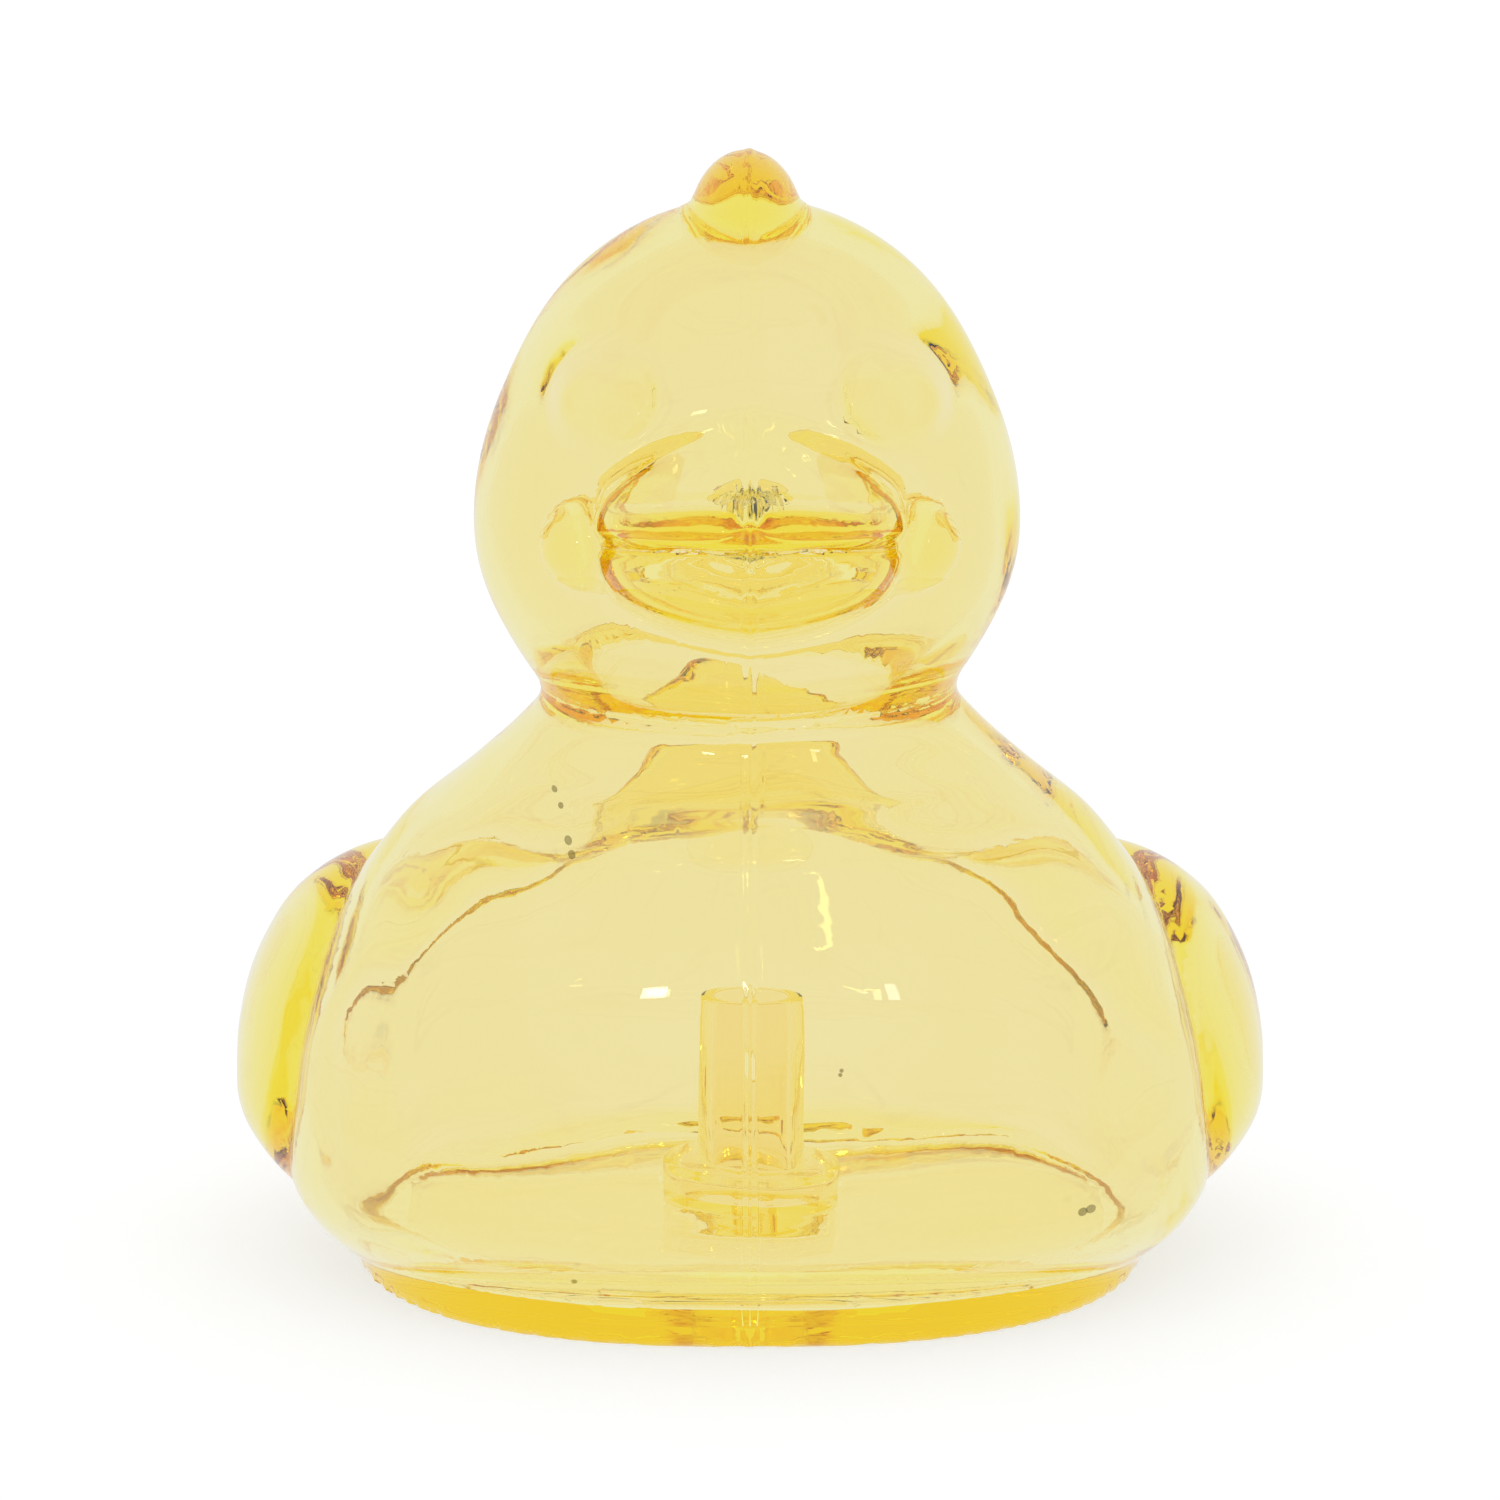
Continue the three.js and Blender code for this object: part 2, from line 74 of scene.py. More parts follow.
# Main sizes, in millimetres.
WALL = 2.0
FLOOR = 2.4
BASE_HALF_WIDTH = 29.0
BASE_FRONT = 31.0
BASE_BACK = 28.0
BASE_TOP = 5.2
BASE_SQUARENESS = 2.35
BELLY_HEIGHT = 14.5
NECK_HEIGHT = 44.2
HEAD_CENTRE = (-0.22, -12.0, 58.0)
HEAD_RADII = (20.0, 19.6)
HEAD_RISE = 23.4
HEAD_DROP = 18.6
MOUTH_HEIGHT = 59.6
HOLE_RADIUS = 5.2
HOLE_PAST_FLOOR = 1
SOLE_RECESS = 0.15
SOLE_RIM = 1.6
SOLE_STEP = 0.8

# How softly the fields meet, in millimetres.
CUT_SOFTNESS = 0.5
PLINTH_SOFTNESS = 0.6
NECK_FILLET = 1.6
TAIL_FILLET = 5.0
TUFT_FILLET = 0.7
CHEEK_FILLET = 0.5
PLINTH_FILLET = 0.7
BILL_FILLET = 0.9
BILL_FILLET_ABOVE = 1.5
BILL_FILLET_RISE = (60, 62)
INNER_NECK_FILLET = 0.8
INNER_PLINTH_FILLET = 1.0
INNER_BILL_FILLET = 1.2
WALL_EDGE_SOFTNESS = 0.05
HOLE_EDGE_SOFTNESS = 0.25

# Rows of the body's horizontal section: height, half width, reach forward, reach back.
BODY_ROWS = np.array([
    (0.3, 29.0, 20.5, 17.5),
    (1.6, 30.4, 25.0, 22.6),
    (3.6, 32.4, 29.4, 27.4),
    (6.2, 34.0, 33.0, 31.6),
    (10.0, 35.0, 35.0, 35.0),
    (14.5, 35.2, 35.9, 36.0),
    (19.2, 34.4, 36.7, 35.0),
    (23.4, 32.6, 37.0, 30.9),
    (27.0, 30.6, 36.4, 22.9),
    (31.1, 27.8, 35.0, 14.9),
    (35.3, 24.8, 32.6, 9.8),
    (39.1, 20.6, 29.2, 6.2),
    (42.4, 17.1, 27.4, 4.6),
    (44.2, 15.5, 26.8, 4.0),
    (50.0, 14.0, 25.0, 3.0),
])


def smooth_min(a, b, k):
    """The lower of two fields, with the corner between them filled to a fillet of about k."""
    h = np.clip(0.5 + 0.5 * (b - a) / k, 0, 1)
    return b + (a - b) * h - k * h * (1 - h)


def smooth_max(a, b, k):
    """The higher of two fields, with the corner between them rounded off by about k."""
    return -smooth_min(-a, -b, k)


def smoothstep(low, high, v):
    """0 below low and 1 above high, with a smooth rise between."""
    t = np.clip((v - low) / (high - low), 0, 1)
    return t * t * (3 - 2 * t)


def read_rows(rows, column, height):
    """A smooth curve through one column of the rows, read at heights."""
    z, v = rows[:, 0], rows[:, column]
    slope = np.gradient(v, z)
    i = np.clip(np.searchsorted(z, height) - 1, 0, len(z) - 2)
    step = z[i + 1] - z[i]
    t = np.clip((height - z[i]) / step, 0, 1)
    t2 = t * t
    t3 = t2 * t
    return (v[i] * (2 * t3 - 3 * t2 + 1) + slope[i] * step * (t3 - 2 * t2 + t)
            + v[i + 1] * (3 * t2 - 2 * t3) + slope[i + 1] * step * (t3 - t2))


def first_order(shape, x, y, z, step=0.05):
    """Distance to the surface where shape is 1, from its value and its slope."""
    here = shape(x, y, z)
    sx = shape(x + step, y, z) - shape(x - step, y, z)
    sy = shape(x, y + step, z) - shape(x, y - step, z)
    sz = shape(x, y, z + step) - shape(x, y, z - step)
    slope = np.sqrt(sx * sx + sy * sy + sz * sz) / (2 * step)
    return (here - 1) / np.maximum(slope, LEAST_SLOPE)


def body_shape(x, y, z):
    """The body's section at each height as one superellipse: 1 on the skin, less inside."""
    half = read_rows(BODY_ROWS, 1, z)
    front = read_rows(BODY_ROWS, 2, z)
    back = read_rows(BODY_ROWS, 3, z)
    up = smoothstep(BELLY_HEIGHT, NECK_HEIGHT, z)
    middle = HEAD_CENTRE[1] * up
    square = BASE_SQUARENESS + (2 - BASE_SQUARENESS) * up
    reach = np.where(y < middle, middle + front, back - middle)
    u = np.abs(x) / half
    v = np.abs(y - middle) / reach
    return (u ** square + v ** square + TINY) ** (1 / square)


# Where the head is narrower: the share of its width, and the band's height and spread.
TEMPLES = (0.026, 69.5, 6.5)
JOWLS = (0.018, 49.0, 4.0)


def narrowing(z, share, height, spread):
    """The share that a narrower band takes off the head's width at a height."""
    return share * np.exp(-((z - height) / spread) ** 2)


def head_field(x, y, z):
    """Distance to the head, an egg with a longer crown than chin."""
    cx, cy, cz = HEAD_CENTRE
    rz = np.where(z > cz, HEAD_RISE, HEAD_DROP)
    rx = HEAD_RADII[0] * (1 - narrowing(z, *TEMPLES) - narrowing(z, *JOWLS))
    px, py, pz = (x - cx) / rx, (y - cy) / HEAD_RADII[1], (z - cz) / rz
    far = np.sqrt(px * px + py * py + pz * pz + TINY)
    slope = np.sqrt((px / rx) ** 2 + (py / HEAD_RADII[1]) ** 2 + (pz / rz) ** 2 + TINY)
    return (far - 1) * far / slope


# The body runs this far up into the head.
BODY_PAST_NECK = 3


def body_field(x, y, z):
    """Distance to the body below the head."""
    d = first_order(body_shape, x, y, z)
    d = smooth_max(d, BODY_ROWS[0][0] - z, CUT_SOFTNESS)
    return smooth_max(d, z - NECK_HEIGHT - BODY_PAST_NECK, CUT_SOFTNESS)


def ellipsoid(x, y, z, centre, radii):
    """Distance to an ellipsoid, exact on its surface."""
    px, py, pz = ((v - c) / r for v, c, r in zip((x, y, z), centre, radii))
    far = np.sqrt(px * px + py * py + pz * pz + TINY)
    slope = np.sqrt(sum((p / r) ** 2 for p, r in zip((px, py, pz), radii)) + TINY)
    return (far - 1) * far / slope


# The wing: its middle along Y and Z, how far it stands off the flank, and its outline's steps.
WING_MIDDLE = (5.0, 18.0)
WING_RISE = 2.8
WING_CURVE_STEPS = 12
# The crown is blunt, and rounder towards its foot and its top.
WING_BLUNTNESS = 5
WING_FOOT_BLUNTNESS_DROP = 3.0
WING_TOP_BLUNTNESS_DROP = 1.5
WING_FOOT = (0.1, 0.9)
WING_TOP = (0.3, 0.95)
WING_EDGE_POWER = 0.5
WING_FOOT_POWER_RISE = 0.45
# The groove outside the wing's outline, which fades towards the foot.
GROOVE_DEPTH = 0.45
GROOVE_FADE = 0.7
GROOVE_PAST = 0.5
GROOVE_WIDTH = 0.8
# The wings' relief starts this far from the middle and is whole from there on.
FLANK = (14, 20)
WING_HOLLOW_SHARE = 0.8
WING_HOLLOW_EDGE = (0.35, 1.05)
# The wing's outline in side view, as offsets back and up from its middle.
WING_POINTS = np.array([
    (22, 5), (11, 9.6), (-1, 12.0), (-11, 9.4), (-17.5, 2.5), (-17, -5.5), (-10.5, -11.5),
    (0, -13.8), (9, -11.5), (17, -4.5),
])


def closed_curve(points, per_span):
    """A smooth closed line through the points."""
    out = []
    for i in range(len(points)):
        a, b, c, d = (points[(i + k) % len(points)] for k in (-1, 0, 1, 2))
        for t in np.arange(per_span) / per_span:
            out.append(0.5 * (2 * b + (c - a) * t + (2 * a - 5 * b + 4 * c - d) * t * t
                              + (3 * b - a - 3 * c + d) * t ** 3))
    return np.array(out)


wing_line = closed_curve(WING_POINTS, WING_CURVE_STEPS)
wing_turn = np.arctan2(wing_line[:, 1], wing_line[:, 0])
wing_order = np.argsort(wing_turn)
wing_turn = wing_turn[wing_order]
wing_far = np.hypot(wing_line[:, 0], wing_line[:, 1])[wing_order]


def wing_share(y, z):
    """0 at the wing's middle and 1 on its outline in side view, with the outline's distance."""
    dy, dz = y - WING_MIDDLE[0], z - WING_MIDDLE[1]
    edge = np.interp(np.arctan2(dz, dy), wing_turn, wing_far, period=2 * math.pi)
    return np.hypot(dy, dz) / edge, edge


def wing_lift(x, y, z):
    """How far the wing stands off the flank, with the groove that runs round it."""
    share, edge = wing_share(y, z)
    past = (share - 1) * edge
    low = smoothstep(*WING_FOOT, (WING_MIDDLE[1] - z) / edge)
    high = smoothstep(*WING_TOP, (z - WING_MIDDLE[1]) / edge)
    bend = WING_BLUNTNESS - WING_FOOT_BLUNTNESS_DROP * low - WING_TOP_BLUNTNESS_DROP * high
    power = WING_EDGE_POWER + WING_FOOT_POWER_RISE * low
    crown = WING_RISE * np.clip(1 - np.clip(share, 0, 1) ** bend, 0, 1) ** power
    depth = GROOVE_DEPTH * (1 - GROOVE_FADE * low)
    groove = depth * np.exp(-((past - GROOVE_PAST) / GROOVE_WIDTH) ** 2)
    return (crown - groove) * smoothstep(*FLANK, np.abs(x))


def wing_hollow(x, y, z):
    """The wing seen from inside, softer than outside."""
    share, _ = wing_share(y, z)
    rise = WING_RISE * WING_HOLLOW_SHARE * (1 - smoothstep(*WING_HOLLOW_EDGE, share))
    return rise * smoothstep(*FLANK, np.abs(x))


# The tail's spine in side view, from inside the rump to the middle of its rounded end.
TAIL_ROOT = np.array((14.4, 15.5))
TAIL_BEND = np.array((30.5, 19.5))
TAIL_END = np.array((38.2, 29.4))
TAIL_SPANS = 20
TAIL_HALF_WIDTH = 19.0
TAIL_WIDTH_TAPER = 0.55
TAIL_HALF_THICKNESS = 12.5
TAIL_THICKNESS_TAPER = 0.64
# The tail's wall is thicker than the rest by this much.
TAIL_EXTRA_WALL = 0.6


def tail_field(x, y, z):
    """Distance to the tail, a flattened cone along its spine with a rounded end."""
    steps = np.linspace(0, 1, TAIL_SPANS + 1)[:, None]
    spine = ((1 - steps) ** 2 * TAIL_ROOT + 2 * steps * (1 - steps) * TAIL_BEND
             + steps ** 2 * TAIL_END)
    near = np.full(np.shape(x), np.inf)
    along = np.zeros(np.shape(x))
    for i in range(TAIL_SPANS):
        a, span = spine[i], spine[i + 1] - spine[i]
        t = np.clip(((y - a[0]) * span[0] + (z - a[1]) * span[1]) / span.dot(span), 0, 1)
        far = (y - a[0] - t * span[0]) ** 2 + (z - a[1] - t * span[1]) ** 2
        closer = far < near
        near = np.where(closer, far, near)
        along = np.where(closer, (i + t) / TAIL_SPANS, along)
    across = TAIL_HALF_WIDTH * (1 - TAIL_WIDTH_TAPER * along)
    thick = TAIL_HALF_THICKNESS * (1 - TAIL_THICKNESS_TAPER * along)
    near = np.sqrt(near)
    share = np.sqrt((x / across) ** 2 + (near / thick) ** 2 + TINY)
    slope = np.sqrt((x / across ** 2) ** 2 + (near / thick ** 2) ** 2 + TINY)
    return (share - 1) * share / slope


# The bill: where it leaves the head, its half width, its lip's height, and how it turns up.
BILL_ROOT_Y = -26.0
BILL_HALF_WIDTH = 12.0
BILL_LIP = 3.0
BILL_TURN_UP = 0.19
BILL_HINGE_Y = -29.0
# How the bill narrows to its tip, seen from above, and how square its lip is.
BILL_NARROWING = 0.325
BILL_TIP_SHARE = 0.03
BILL_LIP_SQUARENESS = 4.0
BILL_PLAN_SQUARENESS = 2.9
BILL_PLAN_POWER = 0.42
BILL_PLAN_SCALE = 0.85
BILL_TIP_SOFTNESS = 2.2
# Each half: its edge from the mouth's height, reach forward, rise, hollowing and squareness.
UPPER_BILL = (0.04, 17.4, 11.6, 1.4, 1.5)
LOWER_BILL = (-0.04, 13.6, 8.4, 0.5, 1.6)
MOUTH_FILLET = 1.8
# The same for the bill seen from inside, where it is one lens with a thicker wall.
UPPER_BILL_INSIDE = (-1.2, 16.6, 12.4, 1.4, 1.6)
LOWER_BILL_INSIDE = (1.2, 13.2, 9.4, 0.5, 1.7)
INSIDE_MOUTH_FILLET = 2.5
BILL_EXTRA_WALL = 0.4


def bill_half_field(x, y, z, sign, offset, reach, rise, hollow, square):
    """Distance to the upper (sign 1) or lower (sign -1) half of the bill."""
    out = np.clip((BILL_ROOT_Y - y) / reach, 0, 1)
    half = BILL_HALF_WIDTH * np.maximum(1 - out * out, BILL_TIP_SHARE) ** BILL_NARROWING
    height = BILL_LIP + (rise - BILL_LIP) * (1 - out) ** hollow
    middle = BILL_LIP / 2
    up = (z - (MOUTH_HEIGHT + offset)) * sign - middle
    over = up > 0
    s = np.where(over, square, BILL_LIP_SQUARENESS)
    tall = np.where(over, height - middle, middle)

    def section(px, py, pz):
        return ((np.abs(px) / half) ** s + (np.abs(pz) / tall) ** s + TINY) ** (1 / s)

    d = first_order(section, x, y, up)
    side = (np.abs(x) / BILL_HALF_WIDTH) ** BILL_PLAN_SQUARENESS
    plan = (side + (np.maximum(BILL_ROOT_Y - y, 0) / reach) ** 2 + TINY) ** BILL_PLAN_POWER
    d_plan = (plan - 1) * reach * BILL_PLAN_SCALE
    d = smooth_max(d, d_plan, BILL_TIP_SOFTNESS)
    return np.maximum(d, y - BILL_ROOT_Y)


def bill_pair(x, y, z, upper, lower, fillet):
    """Both halves of the bill, met along the mouth line, turned up towards the tip."""
    z = z + BILL_TURN_UP * (y - BILL_HINGE_Y)
    above = bill_half_field(x, y, z, 1, *upper)
    below = bill_half_field(x, y, z, -1, *lower)
    return smooth_min(above, below, fillet)


def bill_field(x, y, z):
    """Distance to the bill's outside."""
    return bill_pair(x, y, z, UPPER_BILL, LOWER_BILL, MOUTH_FILLET)


def bill_hollow(x, y, z):
    """The bill seen from inside: one smooth lens without the mouth line."""
    lens = bill_pair(x, y, z, UPPER_BILL_INSIDE, LOWER_BILL_INSIDE, INSIDE_MOUTH_FILLET)
    return lens + BILL_EXTRA_WALL


# The eye seen from the front: its middle, its radii and how far its top leans in.
EYE_MIDDLE = (10.7, 69.6)
EYE_RADII = (3.9, 4.4)
EYE_LEAN = 0.3
# The eye's rim: its height, where its slope starts at the top and the foot, how much further
# out it starts on the inner and the outer side, and where it ends.
EYE_RISE = 1.3
EYE_SLOPE_START = 0.2
EYE_INNER_SLOPE = 0.66
EYE_OUTER_SLOPE = 0.5
EYE_SLOPE_END = 1.02
EYE_LEAST_SHARE = 0.05
PUPIL_RISE = 0.2
PUPIL_SIZE = (0.9, 2.6)
EYE_HOLLOW_DEPTH = 0.6
EYE_HOLLOW_SLOPE = (0.1, 1.1)
# Along Y, where the eyes' rims fade out, and where the marks and the eyes' inside do.
EYE_FADE = (-22, -16)
FACE_FADE = (-20, -14)


def eye_share(x, z):
    """Across and up from an eye's middle, and 0 at its middle to 1 on its outline."""
    v = z - EYE_MIDDLE[1]
    u = np.abs(x) - EYE_MIDDLE[0] + v * EYE_LEAN
    return u, v, np.sqrt((u / EYE_RADII[0]) ** 2 + (v / EYE_RADII[1]) ** 2)


def eye_lift(x, y, z):
    """The raised oval of each eye, leaning in at the top, with a shallow lens pupil."""
    u, v, share = eye_share(x, z)
    side = np.abs(u / EYE_RADII[0]) / np.maximum(share, EYE_LEAST_SHARE)
    steep = np.where(u < 0, EYE_INNER_SLOPE, EYE_OUTER_SLOPE)
    foot = EYE_SLOPE_START + steep * np.clip(side, 0, 1) ** 2
    rim = EYE_RISE * (1 - smoothstep(foot, EYE_SLOPE_END, share))
    pupil = PUPIL_RISE * np.exp(-((u / PUPIL_SIZE[0]) ** 2 + (v / PUPIL_SIZE[1]) ** 2))
    return (rim + pupil) * (1 - smoothstep(*EYE_FADE, y))


def eye_hollow(x, y, z):
    """The eye seen from inside, so that its middle is thin and its rim is thick."""
    share = eye_share(x, z)[2]
    depth = EYE_HOLLOW_DEPTH * (1 - smoothstep(*EYE_HOLLOW_SLOPE, share))
    return depth * (1 - smoothstep(*FACE_FADE, y))


# Faint round marks of the mould on the forehead: place across and up, and radius.
MARKS = ((4.15, 74.9, 1.4), (-13.3, 78.2, 1.05), (12.8, 77.3, 1.05))
MARK_RISE = 0.06
MARK_WIDTH = 0.35


def mark_lift(x, y, z):
    """The fine raised rings of the marks."""
    total = np.zeros(np.shape(x))
    for across, up, radius in MARKS:
        far = np.hypot(x - across, z - up)
        total = total + MARK_RISE * np.exp(-((far - radius) / MARK_WIDTH) ** 2)
    return total * (1 - smoothstep(*FACE_FADE, y))


# The parting line of the mould, which runs all round the duck in the middle plane.
PARTING_RISE = 0.14
PARTING_WIDTH = 0.28


def parting_lift(x):
    """The fine raised line where the two halves of the mould met."""
    return PARTING_RISE * np.exp(-(x / PARTING_WIDTH) ** 2)


# The tuft on the crown, and the cheeks at the corners of the mouth.
TUFT_MIDDLE = (-0.3, -11, 79.3)
TUFT_RADII = (4.2, 7.6, 5.55)
CHEEK_MIDDLE = (12.0, -27.4, 59.2)
CHEEK_RADII = (3.3, 3.3, 3.3)


def outer_field(x, y, z):
    """Distance to the duck's outside."""
    body = body_field(x, y, z) - wing_lift(x, y, z)
    head = head_field(x, y, z) - eye_lift(x, y, z) - mark_lift(x, y, z)
    d = smooth_min(body, head, NECK_FILLET)
    d = smooth_min(d, tail_field(x, y, z), TAIL_FILLET)
    d = smooth_min(d, ellipsoid(x, y, z, TUFT_MIDDLE, TUFT_RADII), TUFT_FILLET)
    bill_fillet = BILL_FILLET + BILL_FILLET_ABOVE * smoothstep(*BILL_FILLET_RISE, z)
    d = smooth_min(d, bill_field(x, y, z), bill_fillet)
    d = smooth_min(d, ellipsoid(np.abs(x), y, z, CHEEK_MIDDLE, CHEEK_RADII), CHEEK_FILLET)
    d = smooth_min(d, plinth_field(x, y, z), PLINTH_FILLET)
    return d - parting_lift(x)


def plinth_field(x, y, z):
    """Distance to the flat oval base, with its sole raised inside a rim."""
    def shape(px, py, pz):
        reach = np.where(py < 0, BASE_FRONT, BASE_BACK)
        u, v = np.abs(px) / BASE_HALF_WIDTH, np.abs(py) / reach
        return (u ** BASE_SQUARENESS + v ** BASE_SQUARENESS + TINY) ** (1 / BASE_SQUARENESS)

    d = first_order(shape, x, y, z)
    recess = SOLE_RECESS * smoothstep(SOLE_RIM, SOLE_RIM + SOLE_STEP, -d)
    d = smooth_max(d, z - BASE_TOP, PLINTH_SOFTNESS)
    return smooth_max(d, recess - z, CUT_SOFTNESS)


# The waves of the inside face: how many, their length, its least share and spread, and depth.
RIPPLE_SEED = 5
RIPPLE_WAVES = 9
RIPPLE_LENGTH = 16.0
RIPPLE_LEAST = 0.6
RIPPLE_SPREAD = 0.9
RIPPLE_TURN = 6.28
RIPPLE_SHARE = 3.0
RIPPLE_DEPTH = 0.12


def ripple(x, y, z):
    """Soft unevenness of a moulded inside face, from a few crossing waves."""
    rng = np.random.default_rng(RIPPLE_SEED)
    total = np.zeros(np.shape(x))
    for _ in range(RIPPLE_WAVES):
        way = rng.normal(size=3)
        length = RIPPLE_LENGTH * (RIPPLE_LEAST + RIPPLE_SPREAD * rng.random())
        way *= 2 * math.pi / length / np.linalg.norm(way)
        total += np.sin(way[0] * x + way[1] * y + way[2] * z + rng.random() * RIPPLE_TURN)
    return total / RIPPLE_SHARE


def inner_field(x, y, z):
    """Distance to the hollow inside, counted negative in the hollow."""
    body = body_field(x, y, z) - wing_hollow(x, y, z)
    head = head_field(x, y, z) - eye_hollow(x, y, z)
    d = smooth_min(body, head, INNER_NECK_FILLET)
    d = smooth_min(d, tail_field(x, y, z) + TAIL_EXTRA_WALL, TAIL_FILLET)
    d = smooth_min(d, plinth_field(x, y, z), INNER_PLINTH_FILLET)
    d = d + WALL + RIPPLE_DEPTH * ripple(x, y, z)
    d = smooth_min(d, bill_hollow(x, y, z) + WALL, INNER_BILL_FILLET)
    return smooth_max(d, FLOOR - z, CUT_SOFTNESS)


def solid_field(x, y, z):
    """Distance to the vinyl: the outside without the hollow and the squeaker's hole."""
    d = outer_field(x, y, z)
    d = smooth_max(d, -inner_field(x, y, z), WALL_EDGE_SOFTNESS)
    hole = np.maximum(np.hypot(x, y) - HOLE_RADIUS, z - FLOOR - HOLE_PAST_FLOOR)
    return smooth_max(d, -hole, HOLE_EDGE_SOFTNESS)


# How fast the grid's spacing grows away from a fine zone.
GRID_GROWTH = 0.35


def grid_lines(low, high, coarse, fine):
    """Grid coordinates with spacing coarse, and finer inside each (low, high, spacing) of fine."""
    out = [low]
    while out[-1] < high:
        here = out[-1]
        step = coarse
        for a, b, s in fine:
            near = max(a - here, here - b, 0.0)
            step = min(step, s + near * GRID_GROWTH)
        out.append(here + step)
    return np.array(out)


def surface_net(field, xs, ys, zs):
    """Vertices and quads of the surface where the field is 0, one vertex to each crossed cell."""
    value = np.empty((len(xs), len(ys), len(zs)))
    for i, x in enumerate(xs):
        yy, zz = np.meshgrid(ys, zs, indexing="ij")
        value[i] = field(np.full(yy.shape, x), yy, zz)
    inside = value < 0
    shape = tuple(n - 1 for n in value.shape)
    total = np.zeros(shape + (3,))
    count = np.zeros(shape)
    axes = (xs, ys, zs)
    for axis in range(3):
        a = [slice(None)] * 3
        b = [slice(None)] * 3
        a[axis], b[axis] = slice(None, -1), slice(1, None)
        va, vb = value[tuple(a)], value[tuple(b)]
        cross = inside[tuple(a)] != inside[tuple(b)]
        t = np.where(cross, va / np.where(cross, va - vb, 1), 0)
        starts = [axes[k][:-1] if k == axis else axes[k] for k in range(3)]
        coords = np.meshgrid(*starts, indexing="ij")
        length = np.diff(axes[axis]).reshape([-1 if k == axis else 1 for k in range(3)])
        coords[axis] = coords[axis] + t * length
        others = [k for k in range(3) if k != axis]
        for da in (0, 1):
            for db in (0, 1):
                pick = [slice(None)] * 3
                pick[others[0]] = slice(da, da + shape[others[0]])
                pick[others[1]] = slice(db, db + shape[others[1]])
                c = cross[tuple(pick)]
                for k in range(3):
                    total[..., k] += np.where(c, coords[k][tuple(pick)], 0)
                count += c
    used = count > 0
    index = np.full(shape, -1)
    index[used] = np.arange(used.sum())
    points = total[used] / count[used][:, None]
    quads = []
    for axis in range(3):
        u, v = (axis + 1) % 3, (axis + 2) % 3
        a = [slice(1, -1)] * 3
        b = [slice(1, -1)] * 3
        a[axis], b[axis] = slice(None, -1), slice(1, None)
        first, second = inside[tuple(a)], inside[tuple(b)]
        for flip, hit in ((False, first & ~second), (True, ~first & second)):
            where = np.argwhere(hit)
            where[:, u] += 1
            where[:, v] += 1
            corners = []
            for du, dv in ((-1, -1), (0, -1), (0, 0), (-1, 0)):
                cell = where.copy()
                cell[:, u] += du
                cell[:, v] += dv
                corners.append(index[cell[:, 0], cell[:, 1], cell[:, 2]])
            if flip:
                corners.reverse()
            quads.append(np.stack(corners, axis=1))
    return points, np.concatenate(quads)


# How the points are moved onto the surface: the step that reads the slope, the least slope
# squared, and the furthest move in a round.
SETTLE_STEP = 0.04
SETTLE_LEAST_SLOPE = 0.09
SETTLE_REACH = 0.35


def settle(field, points, rounds):
    """Moves points square to the field onto its surface."""
    h = SETTLE_STEP
    for _ in range(rounds):
        x, y, z = points.T
        d = field(x, y, z)
        g = np.stack([
            field(x + h, y, z) - field(x - h, y, z),
            field(x, y + h, z) - field(x, y - h, z),
            field(x, y, z + h) - field(x, y, z - h),
        ], axis=1) / (2 * h)
        size = np.maximum((g * g).sum(axis=1), SETTLE_LEAST_SLOPE)
        move = np.clip(d / size, -SETTLE_REACH, SETTLE_REACH)
        points = points - g * move[:, None]
    return points


def relax(points, quads, rounds):
    """Evens the mesh out along the surface."""
    a = np.concatenate([quads[:, 0], quads[:, 1], quads[:, 2], quads[:, 3]])
    b = np.concatenate([quads[:, 1], quads[:, 2], quads[:, 3], quads[:, 0]])
    degree = np.bincount(a, minlength=len(points)).astype(float)
    for _ in range(rounds):
        mean = np.stack([np.bincount(a, weights=points[b, k], minlength=len(points))
                         for k in range(3)], axis=1) / degree[:, None]
        points = points + 0.5 * (mean - points)
    return points


def refine(points, faces, wanted, cuts):
    """Cuts the faces finer where wanted says so of their middles."""
    mesh = bpy.data.meshes.new("refined")
    mesh.from_pydata(points.tolist(), [], [list(f) for f in faces])
    work = bmesh.new()
    work.from_mesh(mesh)
    middles = np.array([f.calc_center_median() for f in work.faces])
    hit = wanted(*middles.T)
    edges = {e for f, h in zip(work.faces, hit) if h for e in f.edges}
    bmesh.ops.subdivide_edges(work, edges=list(edges), cuts=cuts, use_grid_fill=True)
    bmesh.ops.triangulate(work, faces=[f for f in work.faces if len(f.verts) > 4])
    new_points = np.array([v.co[:] for v in work.verts])
    new_faces = [[v.index for v in f.verts] for f in work.faces]
    work.free()
    bpy.data.meshes.remove(mesh)
    return new_points, new_faces


def mesh_object(name, points, faces, material):
    """A smooth shaded object from points in millimetres."""
    mesh = bpy.data.meshes.new(name)
    mesh.from_pydata((points * MM).tolist(), [], [list(f) for f in faces])
    mesh.validate()
    mesh.shade_smooth()
    mesh.materials.append(material)
    obj = bpy.data.objects.new(name, mesh)
    bpy.context.scene.collection.objects.link(obj)
    return obj


def new_material(name):
    """A material with its nodes, its links, its main shader and its output."""
    material = bpy.data.materials.new(name)
    material.use_nodes = True
    nodes = material.node_tree.nodes
    links = material.node_tree.links
    return material, nodes, links, nodes["Principled BSDF"], nodes["Material Output"]


